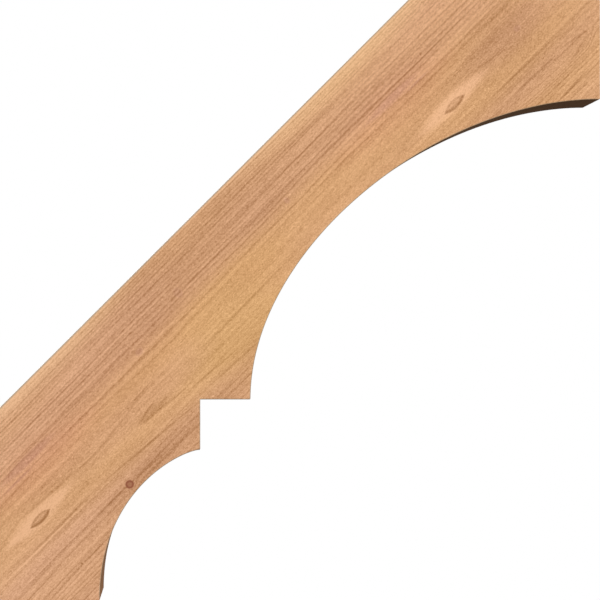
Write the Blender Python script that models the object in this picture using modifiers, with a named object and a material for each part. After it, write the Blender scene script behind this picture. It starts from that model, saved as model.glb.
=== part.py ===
"""Sawn timber brace for an eave or a bracketed beam, in smooth western red cedar.

One piece of timber lies at an angle between a wall and a soffit. Its back edge is straight. Its
lower edge is sawn into a large cove, a square step and a small cove, from the nose to the foot.

Metres, +Z up. X runs out from the wall, Y through the thickness and Z up the wall. The origin is
the centre of the face that bears on the wall.
"""

import math

import bpy
from mathutils import Vector

# The room that the brace takes up: 16 in out from the wall and 16 in down it, in 3 1/2 in timber.
PROJECTION = 0.4064
HEIGHT = 0.4064
THICKNESS = 0.0889

# Depth of the timber before its coves are cut, square to the back edge: a dressed 6 in board.
TIMBER_DEPTH = 0.1397

# Square cuts at the two ends of the lower edge.
NOSE_HEIGHT = 0.0677
FOOT_WIDTH = 0.0677

# The step between the coves, and the small cove under it. The large cove takes what is left.
STEP_RUN = 0.0339
STEP_RISE = 0.0339
SMALL_COVE_WIDTH = 0.0677
SMALL_COVE_HEIGHT = 0.1016

# How far each end of a cove stays close to its tangent, as a share of the cove's own reach.
LARGE_COVE_UPRIGHT_PULL = 0.506
LARGE_COVE_LEVEL_PULL = 0.469
SMALL_COVE_UPRIGHT_PULL = 0.760
SMALL_COVE_LEVEL_PULL = 0.147

# Sanded edges, and how finely the coves and those edges are divided.
ARRIS = 0.0006
ARRIS_STEPS = 2
COVE_STEPS = 40
SHARPEST_SMOOTH_EDGE = math.radians(30)

# Blender's merge distances are for larger things.
MERGE_DISTANCE = 0.00001
FLAT_ANGLE = math.radians(0.1)

BRACE_NAME = "wooden_brace"
CEDAR_COLOUR = (0.665, 0.363, 0.178, 1.0)
CEDAR_ROUGHNESS = 0.62


def clear_scene():
    for obj in list(bpy.data.objects):
        bpy.data.objects.remove(obj, do_unlink=True)


def cedar():
    """Planed and sanded western red cedar, unfinished."""
    material = bpy.data.materials.new("smooth_cedar")
    material.use_nodes = True
    shader = material.node_tree.nodes["Principled BSDF"]
    shader.inputs["Base Color"].default_value = CEDAR_COLOUR
    shader.inputs["Roughness"].default_value = CEDAR_ROUGHNESS
    shader.inputs["Metallic"].default_value = 0.0
    material.diffuse_color = CEDAR_COLOUR
    return material


def back_edge():
    """The two ends of the straight back edge, at the wall and at the soffit, above the foot."""
    foot = Vector((FOOT_WIDTH, 0.0))
    nose = Vector((PROJECTION, HEIGHT - NOSE_HEIGHT))
    along = (nose - foot).normalized()
    across = Vector((-along.y, along.x))
    on_edge = foot + across * TIMBER_DEPTH
    rise = along.y / along.x
    at_wall = Vector((0.0, on_edge.y - on_edge.x * rise))
    at_soffit = Vector((on_edge.x + (HEIGHT - on_edge.y) / rise, HEIGHT))
    return at_wall, at_soffit


def brace_outline():
    """Corners of the profile, each with its pulls into the curves before and after it.

    A pull of None means that the edge on that side is straight. The points are measured from the
    foot of the wall face, and run round the profile from there, along the lower edge to the nose.
    """
    at_wall, at_soffit = back_edge()
    foot = Vector((FOOT_WIDTH, 0.0))
    under_step = foot + Vector((SMALL_COVE_WIDTH, SMALL_COVE_HEIGHT))
    inner_step = under_step + Vector((0.0, STEP_RISE))
    outer_step = inner_step + Vector((STEP_RUN, 0.0))
    nose = Vector((PROJECTION, HEIGHT - NOSE_HEIGHT))
    large_cove = nose - outer_step
    return [
        (Vector((0.0, 0.0)), None, None),
        (foot, None, Vector((0.0, SMALL_COVE_UPRIGHT_PULL * SMALL_COVE_HEIGHT))),
        (under_step, Vector((-SMALL_COVE_LEVEL_PULL * SMALL_COVE_WIDTH, 0.0)), None),
        (inner_step, None, None),
        (outer_step, None, Vector((0.0, LARGE_COVE_UPRIGHT_PULL * large_cove.y))),
        (nose, Vector((-LARGE_COVE_LEVEL_PULL * large_cove.x, 0.0)), None),
        (Vector((PROJECTION, HEIGHT)), None, None),
        (at_soffit, None, None),
        (at_wall, None, None),
    ]


def wall_centre():
    """The centre of the wall face, measured from its foot."""
    at_wall, _ = back_edge()
    return at_wall / 2


def profile_curve(name):
    """The outline as a flat closed curve, in its own XY plane, thickened both ways."""
    curve = bpy.data.curves.new(name, "CURVE")
    curve.dimensions = "2D"
    curve.fill_mode = "BOTH"
    curve.extrude = THICKNESS / 2
    curve.resolution_u = COVE_STEPS
    corners = brace_outline()
    origin = wall_centre()
    spline = curve.splines.new("BEZIER")
    spline.bezier_points.add(len(corners) - 1)
    spline.use_cyclic_u = True
    spline.resolution_u = COVE_STEPS
    for point, (corner, before, after) in zip(spline.bezier_points, corners):
        place = (corner - origin).to_3d()
        point.co = place
        point.handle_left_type = "VECTOR" if before is None else "FREE"
        point.handle_right_type = "VECTOR" if after is None else "FREE"
        point.handle_left = place + (before or Vector((0.0, 0.0))).to_3d()
        point.handle_right = place + (after or Vector((0.0, 0.0))).to_3d()
    return curve


def ease_edges(brace):
    """Joins the curve's loose caps to its sides, then sands every edge."""
    weld = brace.modifiers.new("Join caps", "WELD")
    weld.merge_threshold = MERGE_DISTANCE
    flat = brace.modifiers.new("Whole flat faces", "DECIMATE")
    flat.decimate_type = "DISSOLVE"
    flat.angle_limit = FLAT_ANGLE
    arris = brace.modifiers.new("Sanded edges", "BEVEL")
    arris.width = ARRIS
    arris.segments = ARRIS_STEPS
    arris.limit_method = "ANGLE"
    arris.angle_limit = SHARPEST_SMOOTH_EDGE
    arris.harden_normals = True


def make_brace(collection):
    brace = bpy.data.objects.new(BRACE_NAME, profile_curve(BRACE_NAME))
    brace.rotation_euler = (math.pi / 2, 0.0, 0.0)
    brace.data.materials.append(cedar())
    collection.objects.link(brace)
    ease_edges(brace)
    return brace


def main():
    clear_scene()
    collection = bpy.data.collections.new("Wooden brace")
    bpy.context.scene.collection.children.link(collection)
    make_brace(collection)


main()
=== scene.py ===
"""Wooden brace in smooth western red cedar, with a studio floor, lights and a camera."""

import math

import bmesh
import bpy
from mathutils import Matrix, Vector, noise


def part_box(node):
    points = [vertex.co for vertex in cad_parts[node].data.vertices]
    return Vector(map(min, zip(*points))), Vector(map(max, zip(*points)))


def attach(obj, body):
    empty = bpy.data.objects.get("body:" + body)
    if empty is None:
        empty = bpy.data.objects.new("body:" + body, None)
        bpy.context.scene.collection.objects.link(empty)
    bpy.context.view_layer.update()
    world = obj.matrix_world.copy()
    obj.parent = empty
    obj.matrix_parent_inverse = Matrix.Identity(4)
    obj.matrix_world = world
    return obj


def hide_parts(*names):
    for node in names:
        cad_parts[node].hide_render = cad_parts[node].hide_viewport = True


bl_info = {
    "name": "Wooden Brace",
    "version": (1, 0, 0),
    "blender": (4, 5, 0),
    "location": "3D View > Sidebar > Brace",
    "description": "Builds a sawn cedar brace with two coves, and a plain studio to show it in",
    "category": "Object",
}

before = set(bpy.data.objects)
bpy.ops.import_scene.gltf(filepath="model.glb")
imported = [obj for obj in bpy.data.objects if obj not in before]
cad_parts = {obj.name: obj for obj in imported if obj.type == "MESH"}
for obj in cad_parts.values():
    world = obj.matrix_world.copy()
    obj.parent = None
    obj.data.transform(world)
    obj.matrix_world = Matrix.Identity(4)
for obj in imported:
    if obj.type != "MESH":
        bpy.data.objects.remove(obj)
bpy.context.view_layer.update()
TIMBER = "wooden_brace"
LOW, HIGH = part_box(TIMBER)

MM_PER_METRE = 1000.0

# The photograph's square, and where the brace's face is square to the camera in it.
PHOTO_SIDE = 600
FACING_X = 196.5
FACING_Y = 305.1
METRES_PER_PIXEL = (HIGH.x - LOW.x) / PHOTO_SIDE


class BraceSizes(bpy.types.PropertyGroup):
    """Sizes of the profile that is sawn from the timber."""

    timber_depth: bpy.props.FloatProperty(
        name="Timber Depth",
        description="Depth of the timber square to its back edge",
        default=0.1397,
        unit="LENGTH",
    )
    nose_height: bpy.props.FloatProperty(
        name="Nose Height",
        description="Height of the plumb cut at the outer end",
        default=0.0677,
        unit="LENGTH",
    )
    foot_width: bpy.props.FloatProperty(
        name="Foot Width",
        description="Width of the level cut at the lower end",
        default=0.0677,
        unit="LENGTH",
    )
    step_run: bpy.props.FloatProperty(
        name="Step Run",
        description="Level part of the step between the coves",
        default=0.0339,
        unit="LENGTH",
    )
    step_rise: bpy.props.FloatProperty(
        name="Step Rise",
        description="Plumb part of the step between the coves",
        default=0.0339,
        unit="LENGTH",
    )
    small_cove_width: bpy.props.FloatProperty(
        name="Small Cove Width",
        description="Reach of the small cove, out from the foot",
        default=0.0677,
        unit="LENGTH",
    )
    small_cove_height: bpy.props.FloatProperty(
        name="Small Cove Height",
        description="Rise of the small cove, up from the foot",
        default=0.1016,
        unit="LENGTH",
    )
    arris: bpy.props.FloatProperty(
        name="Arris",
        description="Width that sanding took off each edge",
        default=0.0008,
        unit="LENGTH",
    )
    mesh_step: bpy.props.FloatProperty(
        name="Mesh Step",
        description="Longest side of the mesh's faces, which carry the sanded surface's waves",
        default=0.0045,
        unit="LENGTH",
    )


class CedarLook(bpy.types.PropertyGroup):
    """Colours and figure of the cedar."""

    early_wood: bpy.props.StringProperty(
        name="Early Wood",
        description="Hex colour of the palest wood, which grows in spring",
        default="e9b47c",
    )
    late_wood: bpy.props.StringProperty(
        name="Late Wood",
        description="Hex colour of the dark line that closes each ring",
        default="9d640e",
    )
    early_pink: bpy.props.StringProperty(
        name="Early Pink",
        description="Hex colour of the palest wood in the pinkish bands",
        default="e9b38d",
    )
    late_pink: bpy.props.StringProperty(
        name="Late Pink",
        description="Hex colour of the dark lines in the pinkish bands",
        default="9d6330",
    )
    knot_wood: bpy.props.StringProperty(
        name="Knot Wood",
        description="Hex colour of the bark ring round the pin knot",
        default="853a00",
    )
    # Painted shade: the colour of a thin grey line along the eased edges, where they turn from the
    # light.
    edge_shade: bpy.props.StringProperty(
        name="Edge Grime",
        description="Hex colour of the thin grey line that handling leaves along the eased edges",
        default="a3927a",
    )
    ring_width: bpy.props.FloatProperty(
        name="Ring Width",
        description="Thickness of one year's growth",
        default=0.00105,
        unit="LENGTH",
    )


def linear(hex_colour):
    """An sRGB hex colour as linear RGBA."""
    channels = (int(hex_colour[i : i + 2], 16) / 255 for i in (0, 2, 4))
    return (*(c / 12.92 if c <= 0.04045 else ((c + 0.055) / 1.055) ** 2.4 for c in channels), 1.0)


def add(tree, kind, *values, **named):
    """Adds a shader node and returns its first output.

    Values set or link its inputs in order. A name with a capital is that of an input, with _ for a
    space, and a name in lower case is one of the node's own settings.
    """
    node = tree.nodes.new("ShaderNode" + kind)
    inputs = list(enumerate(values))
    for name, value in named.items():
        if name[0].isupper():
            inputs.append((name.replace("_", " "), value))
        else:
            setattr(node, name, value)
    for key, value in inputs:
        if isinstance(value, bpy.types.NodeSocket):
            tree.links.new(value, node.inputs[key])
        else:
            node.inputs[key].default_value = value
    return node.outputs[0]


# Setting of a MapRange node whose change starts and ends softly.
SMOOTH = {"interpolation_type": "SMOOTHSTEP"}


# Shape of the timber, in metres

# How far each end of a cove stays close to its tangent, as a share of the cove's own reach.
LARGE_COVE_UPRIGHT_PULL = 0.506
LARGE_COVE_LEVEL_PULL = 0.469
SMALL_COVE_UPRIGHT_PULL = 0.760
SMALL_COVE_LEVEL_PULL = 0.147

# How finely the coves and the arrises are divided.
COVE_STEPS = 96
ARRIS_STEPS = 3

# Points this close become one, faces this flat to each other too, and edges this sharp are eased.
MERGE_DISTANCE = 0.00001
FLAT_ANGLE = math.radians(0.05)
ARRIS_ANGLE = math.radians(30)

# Straight through the timber, from the front face to the one behind.
THROUGH = Vector((0.0, 1.0, 0.0))

# The large flat faces lead the shading of the arrises as strongly as Blender lets them.
FLAT_FACES_LEAD = 100

# Marks on the mesh's vertices, which the material reads.
PAINTED = ("paler", "pinker", "yellower", "arris", "shaded_crest")


def back_edge(sizes):
    """The two ends of the straight back edge, at the wall and at the soffit, in the XZ plane."""
    foot = Vector((sizes.foot_width, LOW.z))
    nose = Vector((HIGH.x, HIGH.z - sizes.nose_height))
    along = (nose - foot).normalized()
    on_edge = foot + Vector((-along.y, along.x)) * sizes.timber_depth
    rise = along.y / along.x
    at_wall = Vector((0.0, on_edge.y - on_edge.x * rise))
    at_soffit = Vector((on_edge.x + (HIGH.z - on_edge.y) / rise, HIGH.z))
    return at_wall, at_soffit


def brace_outline(sizes):
    """Corners of the profile in the XZ plane, each with its pulls into the curves on either side.

    A pull of None means that the edge on that side is straight.
    """
    at_wall, at_soffit = back_edge(sizes)
    foot = Vector((sizes.foot_width, LOW.z))
    under_step = foot + Vector((sizes.small_cove_width, sizes.small_cove_height))
    inner_step = under_step + Vector((0.0, sizes.step_rise))
    outer_step = inner_step + Vector((sizes.step_run, 0.0))
    nose = Vector((HIGH.x, HIGH.z - sizes.nose_height))
    large_cove = nose - outer_step
    return [
        (Vector((LOW.x, LOW.z)), None, None),
        (foot, None, Vector((0.0, SMALL_COVE_UPRIGHT_PULL * sizes.small_cove_height))),
        (under_step, Vector((-SMALL_COVE_LEVEL_PULL * sizes.small_cove_width, 0.0)), None),
        (inner_step, None, None),
        (outer_step, None, Vector((0.0, LARGE_COVE_UPRIGHT_PULL * large_cove.y))),
        (nose, Vector((-LARGE_COVE_LEVEL_PULL * large_cove.x, 0.0)), None),
        (Vector((HIGH.x, HIGH.z)), None, None),
        (at_soffit, None, None),
        (at_wall, None, None),
    ]


def sawn_blank(sizes):
    """The timber as the saw leaves it: the outline thickened both ways, with sharp edges."""
    curve = bpy.data.curves.new("Brace outline", "CURVE")
    curve.dimensions = "2D"
    curve.fill_mode = "BOTH"
    curve.extrude = (HIGH.y - LOW.y) / 2
    curve.resolution_u = COVE_STEPS
    corners = brace_outline(sizes)
    spline = curve.splines.new("BEZIER")
    spline.bezier_points.add(len(corners) - 1)
    spline.use_cyclic_u = True
    spline.resolution_u = COVE_STEPS
    no_pull = Vector((0.0, 0.0))
    for point, (corner, before, after) in zip(spline.bezier_points, corners):
        point.co = corner.to_3d()
        point.handle_left_type = "VECTOR" if before is None else "FREE"
        point.handle_right_type = "VECTOR" if after is None else "FREE"
        point.handle_left = (corner + (before or no_pull)).to_3d()
        point.handle_right = (corner + (after or no_pull)).to_3d()
    outline = bpy.data.objects.new("Brace outline", curve)
    outline.rotation_euler.x = math.pi / 2
    outline.location.y = (LOW.y + HIGH.y) / 2
    bpy.context.scene.collection.objects.link(outline)
    graph = bpy.context.evaluated_depsgraph_get()
    mesh = bpy.data.meshes.new_from_object(outline.evaluated_get(graph))
    mesh.transform(outline.matrix_world)
    blank = bmesh.new()
    blank.from_mesh(mesh)
    bpy.data.objects.remove(outline)
    bpy.data.curves.remove(curve)
    bpy.data.meshes.remove(mesh)
    bmesh.ops.remove_doubles(blank, verts=blank.verts, dist=MERGE_DISTANCE)
    bmesh.ops.dissolve_limit(blank, angle_limit=FLAT_ANGLE, verts=blank.verts, edges=blank.edges)
    return blank


def sand_arrises(timber, sizes):
    """Eases every outer edge, and marks its crest. The inner corner of the step stays sharp."""
    arris = timber.verts.layers.float.new("arris")
    edges = [edge for edge in timber.edges if edge.calc_face_angle_signed() > ARRIS_ANGLE]
    eased = bmesh.ops.bevel(
        timber,
        geom=edges,
        offset=sizes.arris,
        offset_type="OFFSET",
        affect="EDGES",
        segments=ARRIS_STEPS,
        profile=0.5,
        material=-1,
    )
    rounded = set(eased["faces"])
    for vert in eased["verts"]:
        vert[arris] = float(rounded.issuperset(vert.link_faces))


def divide(timber, sizes):
    """Cuts the faces into cells along and across the grain, so that the surface can carry waves."""
    along, across = grain_axes(sizes)
    for axis in (along, across, THROUGH):
        reach = [vert.co.dot(axis) for vert in timber.verts]
        low, high = min(reach), max(reach)
        count = math.ceil((high - low) / sizes.mesh_step)
        for i in range(1, count):
            bmesh.ops.bisect_plane(
                timber,
                geom=[*timber.verts, *timber.edges, *timber.faces],
                dist=MERGE_DISTANCE,
                plane_co=axis * (low + (high - low) * i / count),
                plane_no=axis,
            )


def mark_shaded_crests(timber, sizes):
    """Marks the crests that take a line of painted shade: those of the back and the coves, not the
    cuts.
    """
    arris = timber.verts.layers.float["arris"]
    shaded_crest = timber.verts.layers.float.new("shaded_crest")
    for vert in timber.verts:
        x, _, z = vert.co
        from_cuts = min(x - LOW.x, HIGH.x - x, z - LOW.z, HIGH.z - z)
        vert[shaded_crest] = vert[arris] * (from_cuts > 2 * sizes.arris)


def grain_axes(sizes):
    """Unit vectors along the grain, from wall to nose, and across it, into the timber's depth."""
    at_wall, at_soffit = back_edge(sizes)
    along = (at_soffit - at_wall).normalized()
    return Vector((along.x, 0.0, along.y)), Vector((along.y, 0.0, -along.x))


def back_edge_middle(sizes):
    """The middle of the back edge, on the front face."""
    at_wall, at_soffit = back_edge(sizes)
    middle = (at_wall + at_soffit) / 2
    return Vector((middle.x, LOW.y, middle.y))


def patch_strength(along, through, down, patch):
    """How strongly a broad patch shows at a place in mm: 1 in its middle, 0 well outside it."""
    patch_along, patch_down, to_foot, to_nose, width = patch
    ends = (along - patch_along) / (to_foot if along < patch_along else to_nose)
    side = abs(down - patch_down) * 2 / width
    height = 1.0 - ends**2 - (through / PATCH_DEPTH) ** 2 - side
    share = min(max((height + PATCH_FADE) / (1.0 + PATCH_FADE), 0.0), 1.0)
    return share * share * (3.0 - 2.0 * share)


def paint_patches(timber, sizes):
    """Marks on each vertex how far broad patches lighten the wood, redden it and turn its hue."""
    paler = timber.verts.layers.float.new("paler")
    pinker = timber.verts.layers.float.new("pinker")
    yellower = timber.verts.layers.float.new("yellower")
    along, across = grain_axes(sizes)
    middle = back_edge_middle(sizes)
    for vert in timber.verts:
        reach = (vert.co - middle) * MM_PER_METRE
        place = (reach.dot(along), reach.y, reach.dot(across))
        for *patch, lift, blush in PATCHES:
            strength = patch_strength(*place, patch)
            vert[paler] += strength * lift
            vert[pinker] += strength * blush
        for *patch, shift in TINTS:
            vert[yellower] += patch_strength(*place, patch) * shift


def sand_waves(timber, sizes):
    """Sinks the surface by a hair in long shallow waves along the grain, never above the flat."""
    along, across = grain_axes(sizes)
    timber.normal_update()
    moved = []
    for vert in timber.verts:
        length = vert.co.dot(along) / WAVE_LENGTH
        width = vert.co.dot(across) / WAVE_WIDTH
        wave = 0.5 + 0.5 * noise.noise(Vector((length, vert.co.y / WAVE_WIDTH, width)))
        depth = WAVE_DEPTH * min(max(wave, 0.0), 1.0)
        moved.append((vert, vert.co - vert.normal * depth))
    for vert, place in moved:
        vert.co = place


def finished_mesh(name, timber):
    """The bmesh as a mesh whose faces point outwards and are shaded smooth."""
    mesh = bpy.data.meshes.new(name)
    bmesh.ops.recalc_face_normals(timber, faces=timber.faces)
    timber.to_mesh(mesh)
    timber.free()
    mesh.shade_smooth()
    return mesh


# Figure of the board, in millimetres

# Places are on its front face: along the grain from the middle of the back edge, towards the nose,
# and down into the timber from the back edge. A range holds where a change starts and where it
# ends, then its sizes there, if those aren't 0 and 1. A cloud holds a size and a seed.

# The heart of the tree lay behind the board, so the saw ran along the rings down its middle.
HEART_DEPTH = 74.0
HEART_BEHIND = 110.0

# Away from the board's middle, the saw crossed the rings more and more over this range.
CROSSED = (8.0, 34.0)

# The dark line of a year comes on slowly and ends sharply, in shares of the year.
LINE_ON = (0.3, 0.9)
LINE_OFF = (1.0, 0.92)

# Strength of the lines, from the faintest year to the strongest, and from the middle to the edges.
YEAR_STRENGTH = (0.0, 1.0, 0.35, 1.25)
RING_CONTRAST = (0.0, 1.0, 0.28, 0.74)

# How the rings wander: size of each cloud, its seed, and by how many rings it shifts them.
RING_WANDER = (
    ((190.0, 60.0, 30.0), 3.1, 0.5),
    ((60.0, 12.0, 7.0), 7.7, 0.12),
    ((12.0, 1.2, 1.0), 1.3, 0.05),
)

# Blender's noise runs from 0 to 1, and mostly stays near its middle. This spreads it about zero.
CLOUD_SPREAD = (0.0, 1.0, -2.5, 2.5)

# Dimples in the rings, which the saw cut through as a lens with a pale rim: along, down, darkness.
EYES = ((-228.5, 72.2, 0.95), (166.9, 72.2, 0.8))
EYE_REACH = 9.6
EYE_WIDTH = 5.8
EYE_FADE = (-0.25, 0.3)

# The lens is paler in its middle, which lies a little higher.
EYE_MIDDLE_RISE = 0.7
EYE_MIDDLE_LIFT = (0.1, 0.8, 0.0, 0.52)

# The rim lies a little higher too, and is paler and pinker than the wood round it.
RIM_REACH = 37.0
RIM_WIDTH = 15.0
RIM_RISE = 1.6
RIM_FADE = (-0.1, 0.7)
RIM_LIFT = 0.4
RIM_BLUSH = 0.2

# Rings that come to a point: along, down, reach towards the foot, reach towards the nose.
ARROWS = ((-126.0, 75.2, 12.0, 75.0), (255.0, 101.6, 50.0, 10.0))
ARROW_WIDTH = 9.0

# How many rings a dimple and a point bend the figure by.
DIMPLE_BEND = (-1.0, 1.0, 0.0, 3.0)
ARROW_BEND = (-2.0, 1.0, 0.0, 3.0)

# How far behind the face a dimple, a point or a single ring goes on.
FIGURE_DEPTH = 12.0

# How far behind the face a broad patch fades out, and how far past its rim on the face.
PATCH_DEPTH = 60.0
PATCH_FADE = 0.5

# Sanding leaves the faces very slightly wavy: depth, length and width of the waves, in metres.
WAVE_DEPTH = 0.00012
WAVE_LENGTH = 0.045
WAVE_WIDTH = 0.016

# A pin knot: its place, its dark bark, its paler core, and the swirl of the rings round it.
KNOT = (-169.8, 98.5)
KNOT_RADIUS = 2.8
BARK = (KNOT_RADIUS + 0.6, KNOT_RADIUS - 0.4, 0.0, 0.92)
CORE = (KNOT_RADIUS - 0.7, KNOT_RADIUS - 1.9, 0.0, 0.35)
SWIRL = (3 * KNOT_RADIUS, 0.0, 0.0, 1.4)

# Paleness of the early wood, how much a ring's line takes off it, and the broad clouds in it.
EARLY_PALENESS = 0.66
RING_DARKNESS = 0.36
BROAD_CLOUD = ((120.0, 40.0, 16.0), 8.8)
BROAD_STRENGTH = 0.03

# The heartwood is yellower down the middle of the board, and pinker towards its edges.
YELLOW_DEPTH = 64.0
PINK_EDGES = (12.0, 34.0)
PINK_IN_MIDDLE = 0.31
PINK_ADDED = 0.4
PINK_CLOUD = ((150.0, 50.0, 18.0), 9.4)
PINK_STRENGTH = 0.12

# Broad patches: along, down, reach towards the foot and the nose, width, added paleness and pinkness.
PATCHES = (
    (-180.0, 0.0, 120.0, 110.0, 24.0, 0.2, 0.0),
    (130.0, 0.0, 120.0, 130.0, 24.0, 0.24, 0.0),
    (-30.0, 28.0, 90.0, 90.0, 50.0, -0.1, 0.0),
    (-105.0, 33.0, 70.0, 60.0, 30.0, -0.05, 0.0),
    (205.0, 84.0, 120.0, 110.0, 80.0, -0.1, 0.1),
    (-160.0, 93.0, 50.0, 40.0, 40.0, -0.08, 0.0),
    (-228.0, 78.0, 50.0, 50.0, 24.0, -0.08, 0.0),
    (-40.0, 10.0, 70.0, 70.0, 40.0, -0.12, 0.0),
    (60.0, 26.0, 130.0, 130.0, 50.0, -0.08, 0.0),
    (230.0, 60.0, 50.0, 30.0, 40.0, -0.15, 0.2),
    (190.0, 46.0, 130.0, 110.0, 90.0, -0.07, 0.0),
    (-75.0, 16.0, 60.0, 60.0, 36.0, -0.08, 0.0),
    (-160.0, 32.0, 60.0, 60.0, 30.0, -0.07, 0.0),
    (-40.0, 92.0, 24.0, 24.0, 18.0, -0.14, 0.0),
    (-250.0, 60.0, 60.0, 60.0, 30.0, -0.05, 0.0),
    (-20.0, 76.0, 70.0, 60.0, 60.0, -0.1, -0.05),
    (-28.0, 65.0, 50.0, 50.0, 180.0, 0.04, -0.25),
    (-50.0, 85.0, 60.0, 60.0, 50.0, 0.0, -0.25),
    (-110.0, 104.0, 80.0, 80.0, 26.0, -0.1, 0.05),
    (-270.0, 95.0, 60.0, 70.0, 120.0, 0.06, 0.1),
    (230.0, 110.0, 130.0, 130.0, 70.0, -0.06, -0.4),
)

# Broad shifts of hue, to yellow where above 0 and to red below: the patch as above, and the shift.
TINTS = (
    (150.0, 0.0, 150.0, 120.0, 24.0, 1.0),
    (-150.0, 0.0, 100.0, 100.0, 20.0, 0.8),
    (-45.0, 78.0, 60.0, 45.0, 60.0, 0.35),
    (-205.0, 46.0, 60.0, 60.0, 30.0, -0.8),
    (145.0, 44.0, 70.0, 50.0, 32.0, -0.7),
    (-150.0, 46.0, 100.0, 100.0, 50.0, -0.25),
)

# The colour wheel's neutral place, and how far round it a shift of 1 turns the hue.
NEUTRAL_HUE = 0.5
HUE_TURN = 0.009

# Resin that darkened and reddened the wood: along, down, length, width.
RESIN = (
    (-221.0, 43.6, 36.0, 2.2),
    (159.0, 43.4, 27.0, 2.2),
    (-207.0, 38.0, 60.0, 8.0),
    (139.5, 39.5, 60.0, 8.0),
    (-102.0, 40.0, 8.0, 6.0),
    (40.5, 38.0, 5.0, 6.0),
    (-55.5, 30.0, 7.0, 9.0),
    (233.5, 65.7, 7.0, 5.0),
)
RESIN_DARKNESS = 0.14
RESIN_BLUSH = 0.5

# Fibres, from short pores to long streaks: length, thickness, and strength in the paleness. A real
# one is some 0.04 mm thick, too fine to show, so each of these is drawn as thick as a bundle.
FIBRES = (
    (0.9, 0.5, 0.15),
    (3.0, 0.6, 0.035),
    (12.0, 0.7, 0.025),
    (40.0, 0.8, 0.038),
    (110.0, 0.9, 0.042),
    (60.0, 3.0, 0.045),
)
FIBRE_SEED = 0.37

# A few raised fibres catch the light, and a few open pores are dark. Both are too fine to show, so
# they are drawn as specks 1 mm thick, where this cloud is highest and where it is lowest.
SPECKS = ((1.6, 1.0, 1.0), 2.6)
RAISED_FIBRES = (1.3, 1.5, 0.0, 0.27)
OPEN_PORES = (-1.4, -1.6, 0.0, 0.27)

# Marks of the bandsaw on the coves and cuts run straight through the timber's thickness.
SAW_MARKS = ((1.6, 300.0, 1.6), 5.2)
SAW_STRENGTH = 0.06

# How squarely a surface faces front or behind where it starts to count as an edge, and then how
# squarely an edge faces away from the coves where it starts to count as sawn.
OFF_FACE = (0.9, 0.5)
OFF_BACK = (-0.95, -0.8)

# How much end grain and the edges take off the paleness, and a sanded arris adds. The edges'
# darkening is partly their own tone and partly painted shade on the outer half of each arris, and the
# arris's lift is partly fresh sanded wood and partly a painted highlight.
END_GRAIN_DARKNESS = 0.2
EDGE_TONE_AND_ARRIS_SHADE = 0.12
ARRIS_PALENESS_AND_HIGHLIGHT = 0.25

# A painted highlight makes a pale line on the faces along the back edge,
# and painted shade a grey one outside it.
HIGHLIGHT_LINE = (2.6, 1.9)
HIGHLIGHT_LINE_LIFT = 0.16
SHADE_LINE = (1.4, 0.9)
SHADE_LINE_STRENGTH = 0.6

# Dry timber: its IOR, its roughness from the darkest wood to the palest, and what end grain adds.
TIMBER_IOR = 1.5
ROUGHNESS = (0.0, 1.0, 0.5, 0.66)
END_GRAIN_ROUGHNESS = 0.2

# Relief, in metres: sanding leaves the hard line of each ring a hair proud of the softer wood.
RING_RELIEF = {"Strength": 0.05, "Distance": 0.0002}
SAW_RELIEF = {"Strength": 0.2, "Distance": 0.0001}

# Single rings: along, down, length, width, slope down towards the nose, and darkness. Those with
# less than none are pale, and the last two rows are a small nick near the foot.
DARK_RINGS = (
    (-150.0, 12.4, 180.0, 1.6, 0.0, 0.2),
    (100.0, 13.4, 220.0, 1.6, -0.004, 0.22),
    (-160.0, 22.4, 220.0, 1.6, 0.0, 0.24),
    (60.0, 22.6, 200.0, 1.6, 0.004, 0.2),
    (-130.0, 26.8, 200.0, 1.4, 0.0, 0.16),
    (120.0, 26.6, 200.0, 1.6, 0.0, 0.2),
    (10.0, 30.6, 240.0, 1.6, 0.0, 0.2),
    (150.0, 34.2, 180.0, 1.6, 0.004, 0.22),
    (-170.0, 34.0, 160.0, 1.6, 0.0, 0.16),
    (-232.0, 84.7, 110.0, 2.0, 0.0, 0.26),
    (-232.0, 86.3, 90.0, 1.6, 0.0, -0.2),
    (-225.0, 88.0, 130.0, 2.0, 0.0, 0.24),
    (-140.0, 88.4, 110.0, 2.2, 0.085, 0.3),
    (-200.0, 98.0, 180.0, 1.8, 0.0, 0.28),
    (-186.0, 97.6, 30.0, 1.6, 0.0, 0.2),
    (-150.0, 99.6, 40.0, 1.8, 0.04, 0.26),
    (-232.0, 113.8, 60.0, 1.6, 0.0, 0.16),
    (-75.5, 83.6, 55.0, 1.8, 0.08, 0.24),
    (-60.0, 91.0, 55.0, 2.2, 0.05, 0.28),
    (-26.0, 67.7, 100.0, 2.2, -0.015, 0.2),
    (-75.0, 70.4, 64.0, 2.2, -0.075, 0.16),
    (-206.0, 65.4, 88.0, 2.6, 0.065, 0.25),
    (-170.0, 67.4, 54.0, 3.0, -0.02, 0.18),
    (-253.0, 65.2, 36.0, 2.4, -0.17, 0.14),
    (-144.0, 64.3, 66.0, 2.2, -0.12, 0.19),
    (131.0, 67.0, 44.0, 2.4, -0.12, 0.14),
    (197.0, 66.7, 44.0, 2.4, 0.15, 0.12),
    (214.0, 87.4, 80.0, 2.0, 0.02, 0.22),
    (220.0, 96.7, 50.0, 2.4, 0.03, 0.34),
    (242.0, 99.2, 60.0, 2.2, 0.04, 0.3),
    (257.0, 98.5, 34.0, 2.4, 0.17, 0.28),
    (256.0, 105.0, 32.0, 2.4, -0.17, 0.26),
    (229.0, 113.0, 40.0, 1.8, -0.06, 0.16),
    (234.0, 120.0, 36.0, 2.4, -0.03, 0.36),
    (-129.0, 72.6, 26.0, 2.4, -0.2, 0.31),
    (-116.0, 77.5, 50.0, 2.6, 0.1, 0.27),
    (-122.0, 75.2, 34.0, 5.0, 0.0, 0.28),
    (-118.0, 60.0, 40.0, 1.5, -0.07, 0.2),
    (-230.1, 113.2, 2.6, 1.2, 1.0, 0.5),
    (-229.0, 114.0, 2.0, 1.2, 1.0, -0.3),
)


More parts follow.
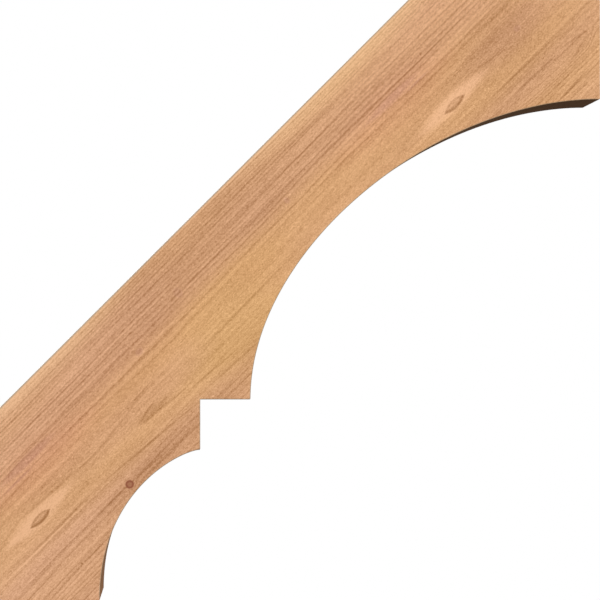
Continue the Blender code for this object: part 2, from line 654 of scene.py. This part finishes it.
def board_coordinates(tree, sizes):
    """Object coordinates turned to run with the board, in mm: along, through from the front, down."""
    along, across = grain_axes(sizes)
    edge = back_edge_middle(sizes) * MM_PER_METRE
    return add(
        tree,
        "Mapping",
        add(tree, "TexCoord").node.outputs["Object"],
        Location=(-edge.dot(along), -edge.y, -edge.dot(across)),
        Rotation=(0.0, -math.atan2(along.z, along.x), 0.0),
        Scale=(MM_PER_METRE, MM_PER_METRE, -MM_PER_METRE),
    )


def cloud(tree, place, size, seed):
    """Smooth random value about zero, mostly within 1 of it, in clouds of a real size in mm."""
    sized = add(tree, "Mapping", place, Location=(seed,) * 3, Scale=[1 / length for length in size])
    value = add(tree, "TexNoise", sized, Scale=1.0, Detail=0.0)
    return add(tree, "MapRange", value, *CLOUD_SPREAD)


def almond(tree, place, along, down, to_foot, to_nose, width):
    """A hill with pointed ends, on the face: 1 in its middle, 0 at its rim, and less beyond."""
    size = (1 / to_nose, 1 / FIGURE_DEPTH, 2 / width)
    shift = (-along / to_nose, 0.0, -2 * down / width)
    sized = add(tree, "VectorMath", place, size, shift, operation="MULTIPLY_ADD")
    parts = add(tree, "SeparateXYZ", sized).node.outputs
    footward = add(tree, "Math", parts["X"], -to_nose / to_foot, operation="MULTIPLY")
    reach = add(tree, "Math", parts["X"], footward, operation="MAXIMUM")
    ends = add(tree, "Math", reach, reach, parts["Y"], operation="MULTIPLY_ADD")
    side = add(tree, "Math", parts["Z"], operation="ABSOLUTE")
    outside = add(tree, "Math", ends, side, operation="ADD")
    return add(tree, "Math", 1.0, outside, operation="SUBTRACT")


def streak(tree, place, along, down, length, width, slope=0.0):
    """A long thin spot on the face, which may slope: 1 along its middle and 0 at its rim."""
    sized = add(
        tree,
        "Mapping",
        place,
        Location=(along, 0.0, down),
        Rotation=(0.0, -math.atan(slope), 0.0),
        Scale=(length / 2, FIGURE_DEPTH, width / 2),
        vector_type="TEXTURE",
    )
    away = add(tree, "VectorMath", sized, sized, operation="DOT_PRODUCT").node.outputs["Value"]
    return add(tree, "MapRange", away, 1.0, 0.0, **SMOOTH)


def from_knot(tree, place):
    """Distance in mm from the line of the knot, which runs through the board from the face."""
    on_face = add(tree, "VectorMath", place, (1.0, 0.0, 1.0), operation="MULTIPLY")
    middle = (KNOT[0], 0.0, KNOT[1])
    return add(tree, "VectorMath", on_face, middle, operation="DISTANCE").node.outputs["Value"]


def from_depth(tree, place, middle):
    """How deep into the timber a place lies from its back edge, and how far from a middle depth."""
    depth = add(tree, "SeparateXYZ", place).node.outputs["Z"]
    away = add(tree, "Math", depth, middle, operation="SUBTRACT")
    return depth, add(tree, "Math", away, operation="ABSOLUTE")


def facing(tree, axis):
    """How far the surface faces along an axis of the brace: 1 straight along it, -1 against it."""
    normal = add(tree, "TexCoord").node.outputs["Normal"]
    return add(tree, "VectorMath", normal, tuple(axis), operation="DOT_PRODUCT").node.outputs["Value"]


def ring_count(tree, place, look):
    """How many years' rings lie outside the one that touches the face, at any place in the board."""
    parts = add(tree, "SeparateXYZ", place).node.outputs
    side = add(tree, "Math", parts["Z"], HEART_DEPTH, operation="SUBTRACT")
    behind = add(tree, "Math", parts["Y"], HEART_BEHIND, operation="SUBTRACT")
    from_heart = add(tree, "CombineXYZ", side, behind)
    radius = add(tree, "VectorMath", from_heart, operation="LENGTH").node.outputs["Value"]
    outside = add(tree, "Math", radius, HEART_BEHIND, operation="SUBTRACT")
    count = add(tree, "Math", outside, look.ring_width * MM_PER_METRE, operation="DIVIDE")
    # The rings wander slowly along the trunk, ripple, and fray a little at each fibre.
    for size, seed, rings in RING_WANDER:
        sway = cloud(tree, place, size, seed)
        count = add(tree, "Math", sway, rings, count, operation="MULTIPLY_ADD")
    for along, down, _ in EYES:
        dimple = almond(tree, place, along, down, RIM_REACH, RIM_REACH, RIM_WIDTH)
        bend = add(tree, "MapRange", dimple, *DIMPLE_BEND, **SMOOTH)
        count = add(tree, "Math", count, bend, operation="SUBTRACT")
    for arrow in ARROWS:
        ridge = almond(tree, place, *arrow, ARROW_WIDTH)
        bend = add(tree, "MapRange", ridge, *ARROW_BEND, **SMOOTH)
        count = add(tree, "Math", count, bend, operation="SUBTRACT")
    swirl = add(tree, "MapRange", from_knot(tree, place), *SWIRL, **SMOOTH)
    return add(tree, "Math", count, swirl, operation="SUBTRACT")


def ring_lines(tree, place, look):
    """Dark line that closes each ring: sharp where the saw crossed them, faint where it ran along."""
    count = ring_count(tree, place, look)
    age = add(tree, "Math", count, operation="FRACT")
    comes = add(tree, "MapRange", age, *LINE_ON, **SMOOTH)
    goes = add(tree, "MapRange", age, *LINE_OFF, **SMOOTH)
    sharp = add(tree, "Math", comes, goes, operation="MULTIPLY")
    turns = add(tree, "Math", count, math.tau, operation="MULTIPLY")
    wave = add(tree, "Math", turns, operation="COSINE")
    soft = add(tree, "MapRange", wave, -1.0, 1.0)
    _, away = from_depth(tree, place, HEART_DEPTH)
    crossed = add(tree, "MapRange", away, *CROSSED, **SMOOTH)
    line = add(tree, "MixRGB", crossed, soft, sharp)
    year = add(tree, "Math", count, operation="FLOOR")
    own = add(tree, "TexWhiteNoise", W=year, noise_dimensions="1D").node.outputs["Value"]
    strength = add(tree, "MapRange", own, *YEAR_STRENGTH)
    line = add(tree, "Math", line, strength, operation="MULTIPLY")
    contrast = add(tree, "MapRange", crossed, *RING_CONTRAST)
    return add(tree, "Math", line, contrast, operation="MULTIPLY")


def eye_marks(tree, place, pale):
    """The paleness with the lenses and their pale rims on it, and how far a place is in a rim."""
    cream = 0.0
    for along, down, darkness in EYES:
        hill = almond(tree, place, along, down - RIM_RISE, RIM_REACH, RIM_REACH, RIM_WIDTH)
        rim = add(tree, "MapRange", hill, *RIM_FADE, **SMOOTH)
        pale = add(tree, "Math", rim, RIM_LIFT, pale, operation="MULTIPLY_ADD")
        cream = add(tree, "Math", rim, cream, operation="ADD")
        hill = almond(tree, place, along, down, EYE_REACH, EYE_REACH, EYE_WIDTH)
        lens = add(tree, "MapRange", hill, *EYE_FADE, 0.0, darkness, **SMOOTH)
        pale = add(tree, "Math", pale, lens, operation="SUBTRACT")
        hill = almond(tree, place, along, down - EYE_MIDDLE_RISE, EYE_REACH, EYE_REACH, EYE_WIDTH)
        middle = add(tree, "MapRange", hill, *EYE_MIDDLE_LIFT, **SMOOTH)
        pale = add(tree, "Math", pale, middle, operation="ADD")
    return pale, cream


def knot_bark(tree, place):
    """How far a place shows bark: most in the ring round the pin knot, and less in its core."""
    away = from_knot(tree, place)
    bark = add(tree, "MapRange", away, *BARK, **SMOOTH)
    core = add(tree, "MapRange", away, *CORE, **SMOOTH)
    return add(tree, "Math", bark, core, operation="SUBTRACT")


def smooth_cedar(sizes, look):
    """Western red cedar, planed and sanded, with no finish on it.

    The eye gets a dry, even surface with hardly a shine, straight brown ring lines close together,
    softer and wider ones where the saw ran along the rings, and pinkish bands in the heartwood.
    """
    material = bpy.data.materials.new("smooth_cedar")
    material.use_nodes = True
    tree = material.node_tree
    shader = tree.nodes["Principled BSDF"]
    place = board_coordinates(tree, sizes)
    paler, pinker, yellower, arris, shaded_crest = (
        add(tree, "Attribute", attribute_name=name).node.outputs["Fac"] for name in PAINTED
    )

    # Paleness runs from 0, the darkest line, to 1, the palest early wood.
    lines = ring_lines(tree, place, look)
    pale = add(tree, "Math", lines, -RING_DARKNESS, EARLY_PALENESS, operation="MULTIPLY_ADD")
    for seed, (length, thickness, strength) in enumerate(FIBRES):
        fibre = cloud(tree, place, (length, thickness, thickness), seed + FIBRE_SEED)
        pale = add(tree, "Math", fibre, strength, pale, operation="MULTIPLY_ADD")
    grain = pale
    broad = cloud(tree, place, *BROAD_CLOUD)
    pale = add(tree, "Math", broad, BROAD_STRENGTH, pale, operation="MULTIPLY_ADD")
    pale, cream = eye_marks(tree, place, pale)
    for *line, darkness in DARK_RINGS:
        ring = streak(tree, place, *line)
        pale = add(tree, "Math", ring, -darkness, pale, operation="MULTIPLY_ADD")
    specks = cloud(tree, place, *SPECKS)
    raised = add(tree, "MapRange", specks, *RAISED_FIBRES, **SMOOTH)
    pale = add(tree, "Math", pale, raised, operation="ADD")
    pores = add(tree, "MapRange", specks, *OPEN_PORES, **SMOOTH)
    pale = add(tree, "Math", pale, pores, operation="SUBTRACT")
    pale = add(tree, "Math", pale, paler, operation="ADD")

    # Pinkness runs from 0, the tan pair of colours, to 1, the pink pair.
    depth, away = from_depth(tree, place, YELLOW_DEPTH)
    outer = add(tree, "MapRange", away, *PINK_EDGES, **SMOOTH)
    pink = add(tree, "Math", outer, PINK_ADDED, PINK_IN_MIDDLE, operation="MULTIPLY_ADD")
    bands = cloud(tree, place, *PINK_CLOUD)
    pink = add(tree, "Math", bands, PINK_STRENGTH, pink, operation="MULTIPLY_ADD")
    pink = add(tree, "Math", cream, RIM_BLUSH, pink, operation="MULTIPLY_ADD")
    pink = add(tree, "Math", pink, pinker, operation="ADD")
    for line in RESIN:
        resin = streak(tree, place, *line)
        pink = add(tree, "Math", resin, RESIN_BLUSH, pink, operation="MULTIPLY_ADD")
        pale = add(tree, "Math", resin, -RESIN_DARKNESS, pale, operation="MULTIPLY_ADD")
    pink = add(tree, "MapRange", pink)

    # The coves and the cuts were sawn, the two faces and the back edge were planed.
    along, across = grain_axes(sizes)
    end_grain = add(tree, "Math", facing(tree, along), operation="ABSOLUTE")
    pale = add(tree, "Math", end_grain, -END_GRAIN_DARKNESS, pale, operation="MULTIPLY_ADD")
    to_face = add(tree, "Math", facing(tree, THROUGH), operation="ABSOLUTE")
    edge = add(tree, "MapRange", to_face, *OFF_FACE, **SMOOTH)
    # Partly painted shade: the edges' darkening also darkens the outer half of each arris.
    pale = add(tree, "Math", edge, -EDGE_TONE_AND_ARRIS_SHADE, pale, operation="MULTIPLY_ADD")
    off_back = add(tree, "MapRange", facing(tree, across), *OFF_BACK, **SMOOTH)
    sawn = add(tree, "Math", edge, off_back, operation="MULTIPLY")
    saw_marks = add(tree, "Math", cloud(tree, place, *SAW_MARKS), sawn, operation="MULTIPLY")
    pale = add(tree, "Math", saw_marks, SAW_STRENGTH, pale, operation="MULTIPLY_ADD")
    # The sanded arris is paler fresh wood, and partly a painted highlight.
    pale = add(tree, "Math", arris, ARRIS_PALENESS_AND_HIGHLIGHT, pale, operation="MULTIPLY_ADD")

    # Painted highlight and painted shade lie as two lines along the back edge on the faces, and the
    # shade also on the crests of the back's and the coves' arrises.
    on_face = add(tree, "Math", 1.0, edge, operation="SUBTRACT")
    under_highlight = add(tree, "MapRange", depth, *HIGHLIGHT_LINE, **SMOOTH)
    painted_highlight = add(tree, "Math", on_face, under_highlight, operation="MULTIPLY")
    pale = add(tree, "Math", painted_highlight, HIGHLIGHT_LINE_LIFT, pale, operation="MULTIPLY_ADD")
    in_shade_line = add(tree, "MapRange", depth, *SHADE_LINE, **SMOOTH)
    painted_shade = add(tree, "Math", on_face, in_shade_line, operation="MULTIPLY")
    painted_shade = add(tree, "Math", shaded_crest, painted_shade, operation="MAXIMUM")
    painted_shade = add(tree, "Math", painted_shade, SHADE_LINE_STRENGTH, operation="MULTIPLY")

    tan = add(tree, "MixRGB", pale, linear(look.late_wood), linear(look.early_wood))
    rose = add(tree, "MixRGB", pale, linear(look.late_pink), linear(look.early_pink))
    wood = add(tree, "MixRGB", pink, tan, rose)
    hue = add(tree, "Math", yellower, HUE_TURN, NEUTRAL_HUE, operation="MULTIPLY_ADD")
    wood = add(tree, "HueSaturation", Hue=hue, Color=wood)
    wood = add(tree, "MixRGB", knot_bark(tree, place), wood, linear(look.knot_wood))
    # Painted shade: a grey line along the back edge on the faces and on the crests of the eased
    # edges.
    wood = add(tree, "MixRGB", painted_shade, wood, linear(look.edge_shade))
    tree.links.new(wood, shader.inputs["Base Color"])

    rough = add(tree, "MapRange", pale, *ROUGHNESS)
    rough = add(tree, "Math", end_grain, END_GRAIN_ROUGHNESS, rough, operation="MULTIPLY_ADD")
    tree.links.new(rough, shader.inputs["Roughness"])
    shader.inputs["IOR"].default_value = TIMBER_IOR

    ridges = add(tree, "Bump", Height=grain, **RING_RELIEF)
    scratches = add(tree, "Bump", Height=saw_marks, Normal=ridges, **SAW_RELIEF)
    tree.links.new(scratches, shader.inputs["Normal"])
    return material


class BRACE_OT_timber(bpy.types.Operator):
    """Saw the brace from its timber, sand its edges and give it its cedar"""

    bl_idname = "brace.timber"
    bl_label = "Timber"

    def execute(self, context):
        sizes = context.scene.brace_sizes
        look = context.scene.cedar_look
        timber = sawn_blank(sizes)
        sand_arrises(timber, sizes)
        divide(timber, sizes)
        mark_shaded_crests(timber, sizes)
        paint_patches(timber, sizes)
        sand_waves(timber, sizes)
        brace = bpy.data.objects.new("brace_timber", finished_mesh("brace_timber", timber))
        context.scene.collection.objects.link(brace)
        brace.data.materials.append(smooth_cedar(sizes, look))
        normals = brace.modifiers.new("Flat faces lead", "WEIGHTED_NORMAL")
        normals.weight = FLAT_FACES_LEAD
        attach(brace, "root")
        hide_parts(TIMBER)
        return {"FINISHED"}


# Studio, in metres

# Distance of the camera from the face, and the width of its sensor in millimetres.
CAMERA_DISTANCE = 2.015
SENSOR = 36.0

# The wall's side is nearer and looks larger, so the camera aims a little left of the middle and a
# little low, and its lens is a little longer, so that the brace fills the frame.
AIM_OFF = 0.0005
FULL_FRAME = 1.0027

# Soft lamps: name, place, side and watts.
LAMPS = (
    ("Front light", (2.0, -4.4, 1.6), 2.0, 131),
    ("Front fill", (-1.6, -4.4, 0.8), 2.0, 103),
    ("Side light", (3.0, -1.5, 0.9), 1.0, 22),
    ("Back light", (-1.4, 4.4, 1.6), 2.0, 190),
)

# Even light from all round, slightly warm, and the white that the camera sees behind the brace.
WORLD_LIGHT = (1.0, 0.97, 0.9, 1.0)
WORLD_STRENGTH = 0.1
WHITE = (1.0, 1.0, 1.0, 1.0)

FLOOR_DROP = 0.6
FLOOR_RADIUS = 4.5
FLOOR_SIDES = 64
FLOOR_COLOUR = "e9e7e3"
FLOOR_ROUGHNESS = 0.9


def white_world(scene):
    """White behind the brace, and a faint even light from all round it."""
    world = bpy.data.worlds.new("White studio")
    world.use_nodes = True
    tree = world.node_tree
    light = tree.nodes["Background"]
    light.inputs["Color"].default_value = WORLD_LIGHT
    light.inputs["Strength"].default_value = WORLD_STRENGTH
    seen = add(tree, "LightPath").node.outputs["Is Camera Ray"]
    white = add(tree, "Background", Color=WHITE, Strength=1.0)
    mixed = add(tree, "MixShader", seen, light.outputs[0], white)
    tree.links.new(mixed, tree.nodes["World Output"].inputs["Surface"])
    scene.world = world


def soft_light(name, place, side, watts):
    """A square lamp, turned to the middle of the brace."""
    middle = Vector(((LOW.x + HIGH.x) / 2, 0.0, (LOW.z + HIGH.z) / 2))
    light = bpy.data.lights.new(name, "AREA")
    light.shape = "SQUARE"
    light.size = side
    light.energy = watts
    lamp = bpy.data.objects.new(name, light)
    lamp.location = place
    lamp.rotation_euler = (middle - Vector(place)).to_track_quat("-Z", "Y").to_euler()
    bpy.context.scene.collection.objects.link(lamp)


def pale_floor():
    """A round floor well below the brace, which throws no light or reflection back on it."""
    floor_bm = bmesh.new()
    bmesh.ops.create_circle(floor_bm, cap_ends=True, segments=FLOOR_SIDES, radius=FLOOR_RADIUS)
    bmesh.ops.translate(
        floor_bm,
        verts=floor_bm.verts,
        vec=((LOW.x + HIGH.x) / 2, 0.0, LOW.z - FLOOR_DROP),
    )
    mesh = bpy.data.meshes.new("floor")
    floor_bm.to_mesh(mesh)
    floor_bm.free()
    floor = bpy.data.objects.new("floor", mesh)
    bpy.context.scene.collection.objects.link(floor)
    material = bpy.data.materials.new("pale_floor")
    material.use_nodes = True
    shader = material.node_tree.nodes["Principled BSDF"]
    shader.inputs["Base Color"].default_value = linear(FLOOR_COLOUR)
    shader.inputs["Roughness"].default_value = FLOOR_ROUGHNESS
    mesh.materials.append(material)
    floor.visible_diffuse = False
    floor.visible_glossy = False


def photo_camera(scene):
    """Camera where the photograph was taken from, turned to the middle of the brace's face."""
    camera = bpy.data.cameras.new("Camera")
    middle = Vector(((LOW.x + HIGH.x) / 2 - AIM_OFF, LOW.y, (LOW.z + HIGH.z) / 2 - AIM_OFF))
    place = Vector(
        (
            LOW.x + FACING_X * METRES_PER_PIXEL,
            LOW.y - CAMERA_DISTANCE,
            HIGH.z - FACING_Y * METRES_PER_PIXEL,
        )
    )
    camera.sensor_width = SENSOR
    camera.lens = FULL_FRAME * SENSOR * (middle - place).length / (HIGH.x - LOW.x)
    eye = bpy.data.objects.new("Camera", camera)
    eye.location = place
    eye.rotation_euler = (middle - place).to_track_quat("-Z", "Y").to_euler()
    scene.collection.objects.link(eye)
    scene.camera = eye


class BRACE_OT_stage(bpy.types.Operator):
    """Set up the floor, the soft lights and the camera"""

    bl_idname = "brace.stage"
    bl_label = "Stage"

    def execute(self, context):
        scene = context.scene
        scene.view_settings.view_transform = "Standard"
        white_world(scene)
        pale_floor()
        for lamp in LAMPS:
            soft_light(*lamp)
        photo_camera(scene)
        return {"FINISHED"}


class BRACE_PT_panel(bpy.types.Panel):
    """Buttons and sizes of the brace"""

    bl_idname = "BRACE_PT_panel"
    bl_label = "Wooden Brace"
    bl_space_type = "VIEW_3D"
    bl_region_type = "UI"
    bl_category = "Brace"

    def draw(self, context):
        column = self.layout.column()
        for group in (context.scene.brace_sizes, context.scene.cedar_look):
            for name in group.__annotations__:
                column.prop(group, name)
        column.operator(BRACE_OT_timber.bl_idname)
        column.operator(BRACE_OT_stage.bl_idname)


CLASSES = (BraceSizes, CedarLook, BRACE_OT_timber, BRACE_OT_stage, BRACE_PT_panel)


def register():
    for cls in CLASSES:
        bpy.utils.register_class(cls)
    bpy.types.Scene.brace_sizes = bpy.props.PointerProperty(type=BraceSizes)
    bpy.types.Scene.cedar_look = bpy.props.PointerProperty(type=CedarLook)


def unregister():
    del bpy.types.Scene.cedar_look
    del bpy.types.Scene.brace_sizes
    for cls in reversed(CLASSES):
        bpy.utils.unregister_class(cls)


def main():
    register()
    bpy.ops.brace.timber()
    bpy.ops.brace.stage()
    bpy.context.view_layer.update()


if __name__ == "__main__":
    main()
